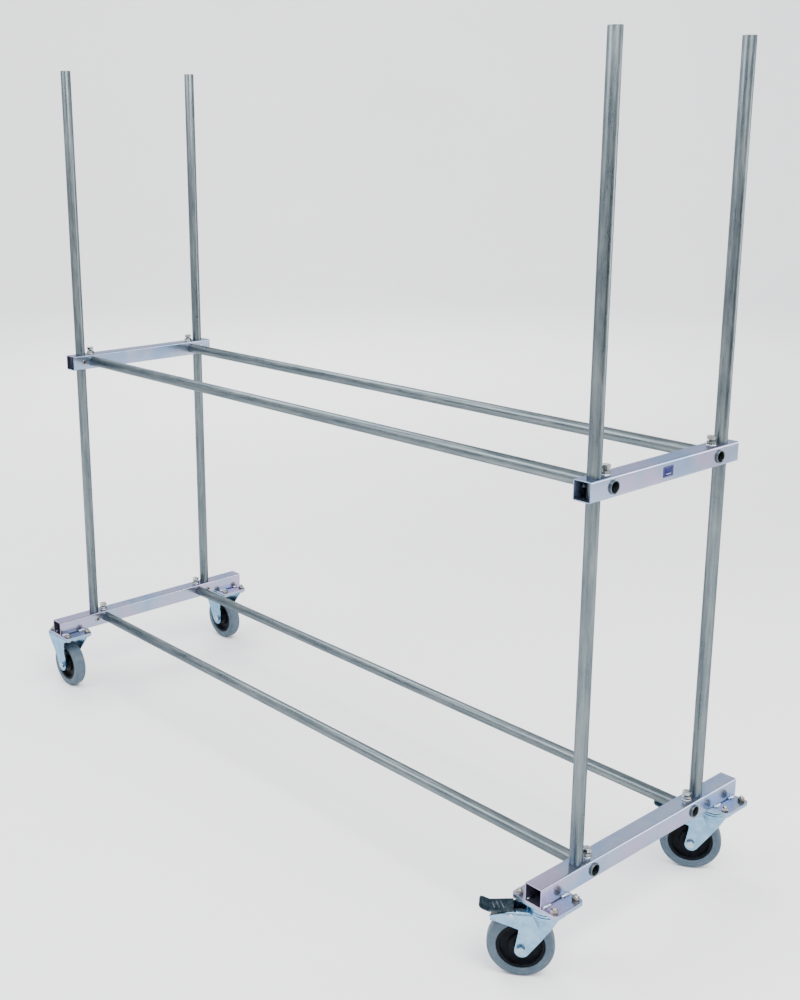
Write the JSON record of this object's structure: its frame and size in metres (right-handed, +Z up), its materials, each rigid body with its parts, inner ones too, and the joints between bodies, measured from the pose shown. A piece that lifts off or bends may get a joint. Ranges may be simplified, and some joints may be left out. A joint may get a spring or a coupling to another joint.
{
  "type": "tyre storage rack",
  "caption": "Mobile tyre rack: two tiers of paired tube rails between square-tube end frames with tall uprights, on rubber-tyred casters, two of them swivelling with brakes.",
  "frame": {"origin": "on the floor, under the middle of the rectangle of end beams and rails", "axes": "+X along the tyre rails towards the end with the swivel casters, -Y the front, +Z up"},
  "size_m": [1.83, 0.6692, 1.663],
  "materials": {
    "bright_zinc": "bright electro-zinc on mild steel, smooth, faint blue and lilac tint",
    "galvanised_tube": "galvanised steel tube with lengthwise streaks",
    "blue_zinc": "blue bright zinc on pressed steel",
    "passivated_fasteners": "zinc with a slight yellow passivate",
    "dark_steel": "dark oiled steel",
    "ball_steel": "polished bearing steel",
    "axle_steel": "zinc plated steel",
    "pedal_zinc": "dull zinc on pressed steel",
    "wheel_core_plastic": "satin moulded black plastic",
    "grey_rubber": "matt blue-grey elastic rubber",
    "label": "glossy dark blue label with no text"
  },
  "bodies": {
    "base": {"beam_lower_near": "bright_zinc", "beam_lower_far": "bright_zinc", "upright_near_front": "galvanised_tube", "upright_near_rear": "galvanised_tube", "upright_far_front": "galvanised_tube", "upright_far_rear": "galvanised_tube", "rail_lower_front": "galvanised_tube", "rail_lower_rear": "galvanised_tube", "set_bolts_lower": "passivated_fasteners", "weld_nuts_lower": "passivated_fasteners", "rivet_nuts_lower": "passivated_fasteners", "grub_screws_lower": "dark_steel", "mount_plates_near": "bright_zinc", "mount_plates_far": "bright_zinc", "plate_bolts": "passivated_fasteners", "plate_nuts": "passivated_fasteners", "swivel_plate_front": "blue_zinc", "swivel_plate_rear": "blue_zinc", "race_balls_front": "ball_steel", "race_balls_rear": "ball_steel", "kingpin_front": "axle_steel", "kingpin_rear": "axle_steel", "fixed_bracket_front": "blue_zinc", "fixed_bracket_rear": "blue_zinc", "far_axle_bolts": "axle_steel", "far_axle_nuts": "axle_steel", "far_axle_sleeves": "axle_steel"},
    "upper_tier": {"beam_upper_near": "bright_zinc", "beam_upper_far": "bright_zinc", "rail_upper_front": "galvanised_tube", "rail_upper_rear": "galvanised_tube", "set_bolts_upper": "passivated_fasteners", "weld_nuts_upper": "passivated_fasteners", "rivet_nuts_upper": "passivated_fasteners", "grub_screws_upper": "dark_steel", "label_plate": "label"},
    "swivel_front": {"fork_front": "blue_zinc", "axle_bolt_front": "axle_steel", "axle_nut_front": "axle_steel", "axle_sleeve_front": "axle_steel", "pedal_pin_front": "axle_steel"},
    "wheel_near_front": {"wheel_core_front": "wheel_core_plastic", "tyre_front": "grey_rubber"},
    "brake_front": {"brake_pedal_front": "pedal_zinc", "brake_shoe_front": "dark_steel"},
    "swivel_rear": {"fork_rear": "blue_zinc", "axle_bolt_rear": "axle_steel", "axle_nut_rear": "axle_steel", "axle_sleeve_rear": "axle_steel", "pedal_pin_rear": "axle_steel"},
    "wheel_near_rear": {"wheel_core_rear": "wheel_core_plastic", "tyre_rear": "grey_rubber"},
    "brake_rear": {"brake_pedal_rear": "pedal_zinc", "brake_shoe_rear": "dark_steel"},
    "wheel_far_front": {"wheel_core_far_front": "wheel_core_plastic", "tyre_far_front": "grey_rubber"},
    "wheel_far_rear": {"wheel_core_far_rear": "wheel_core_plastic", "tyre_far_rear": "grey_rubber"}
  },
  "joints": [
    {"name": "upper_tier_height", "type": "slide", "parent": "base", "child": "upper_tier", "axis": [0, 0, 1], "range_m": [-0.65, 0.7]},
    {"name": "swivel_front_turn", "type": "hinge", "parent": "base", "child": "swivel_front", "pos_m": [0.8525, -0.269, 0.14], "axis": [0, 0, 1], "continuous": true},
    {"name": "wheel_near_front_roll", "type": "hinge", "parent": "swivel_front", "child": "wheel_near_front", "pos_m": [0.81803, -0.29793, 0.0625], "axis": [0.6428, -0.766, 0], "continuous": true},
    {"name": "brake_front_press", "type": "hinge", "parent": "swivel_front", "child": "brake_front", "pos_m": [0.80347, -0.31014, 0.13], "axis": [0.6428, -0.766, 0], "range_deg": [0, 11.2]},
    {"name": "swivel_rear_turn", "type": "hinge", "parent": "base", "child": "swivel_rear", "pos_m": [0.8525, 0.269, 0.14], "axis": [0, 0, 1], "continuous": true},
    {"name": "wheel_near_rear_roll", "type": "hinge", "parent": "swivel_rear", "child": "wheel_near_rear", "pos_m": [0.81519, 0.24384, 0.0625], "axis": [0.5592, -0.829, 0], "continuous": true},
    {"name": "brake_rear_press", "type": "hinge", "parent": "swivel_rear", "child": "brake_rear", "pos_m": [0.79944, 0.23321, 0.13], "axis": [0.5592, -0.829, 0], "range_deg": [0, 11.2]},
    {"name": "wheel_far_front_roll", "type": "hinge", "parent": "base", "child": "wheel_far_front", "pos_m": [-0.8625, -0.269, 0.0625], "axis": [0, 1, 0], "continuous": true},
    {"name": "wheel_far_rear_roll", "type": "hinge", "parent": "base", "child": "wheel_far_rear", "pos_m": [-0.8625, 0.269, 0.0625], "axis": [0, 1, 0], "continuous": true}
  ]
}
